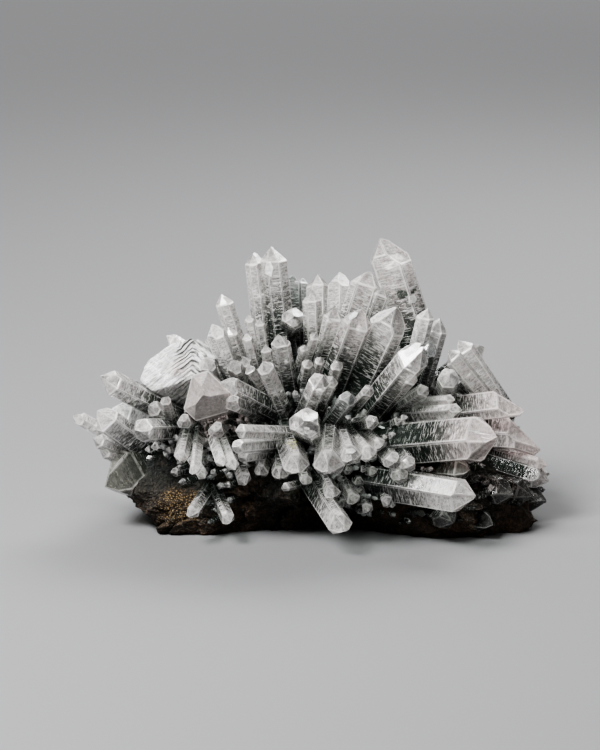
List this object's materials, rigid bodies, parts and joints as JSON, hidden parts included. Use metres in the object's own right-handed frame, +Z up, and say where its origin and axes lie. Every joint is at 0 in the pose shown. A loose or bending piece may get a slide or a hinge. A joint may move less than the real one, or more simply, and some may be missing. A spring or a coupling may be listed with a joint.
{
  "type": "chlorite quartz cluster",
  "caption": "Chlorite quartz specimen: clear, milky and green-rooted hexagonal quartz points fanning out from a dark rock, standing on a flat underside.",
  "frame": {"origin": "on the resting surface, under the middle of the cluster's box", "axes": "+X along the long side of the cluster, to the right in front view; +Y towards its back; +Z up"},
  "size_m": [0.1421, 0.1001, 0.0831],
  "materials": {
    "rock": "rough, dark, chlorite-rich rock with a rusty patch",
    "clear_quartz": "clear to cloudy quartz, finely striated, green at the roots",
    "milky_quartz": "milky white quartz",
    "rosy_quartz": "cloudy quartz with a faint warm pink tone",
    "green_quartz": "quartz clouded dark green by chlorite",
    "smoky_quartz": "grey smoky quartz, dull broken faces"
  },
  "bodies": {
    "root": {"rock": "rock", "tall_left_pair": "clear_quartz", "tall_right": "clear_quartz", "great_point": "rosy_quartz", "low_point": "clear_quartz", "fan_wide": "clear_quartz", "fan_upper": "clear_quartz", "fan_low": "clear_quartz", "rosette_hex": "clear_quartz", "rosette_down": "clear_quartz", "rosette_up": "clear_quartz", "rosette_up_right": "green_quartz", "rosette_green": "clear_quartz", "left_arm": "clear_quartz", "left_arm_low": "milky_quartz", "down_point": "clear_quartz", "left_rosette_up": "clear_quartz", "left_rosette_wide": "clear_quartz", "centre_upright": "clear_quartz", "crown_bright": "clear_quartz", "crown_front_stub": "clear_quartz", "crown_back_left": "green_quartz", "crown_blunt": "clear_quartz", "crown_right": "clear_quartz", "crown_leaning": "clear_quartz", "shoulder_sparkle": "milky_quartz", "green_pocket": "green_quartz", "right_slope": "clear_quartz", "right_stub": "milky_quartz", "right_twin": "clear_quartz", "right_shelf": "rosy_quartz", "right_back_point": "rosy_quartz", "right_blade": "clear_quartz", "grey_stub": "smoky_quartz", "left_tower": "clear_quartz", "left_blunt": "milky_quartz", "rosy_point": "rosy_quartz", "left_long": "clear_quartz", "left_small": "clear_quartz", "left_broad": "milky_quartz", "left_low": "clear_quartz", "milky_tip": "milky_quartz", "left_down_point": "clear_quartz", "diagonal_points": "milky_quartz", "smoky_block": "smoky_quartz", "snow_block": "milky_quartz", "back_point_1": "clear_quartz", "back_point_2": "clear_quartz", "back_point_3": "clear_quartz", "back_point_4": "clear_quartz", "back_point_5": "clear_quartz", "back_point_6": "clear_quartz", "back_point_7": "clear_quartz", "back_point_8": "clear_quartz", "back_point_9": "clear_quartz", "back_point_10": "clear_quartz", "back_point_11": "clear_quartz", "back_point_12": "clear_quartz", "back_point_13": "clear_quartz"}
  },
  "joints": []
}
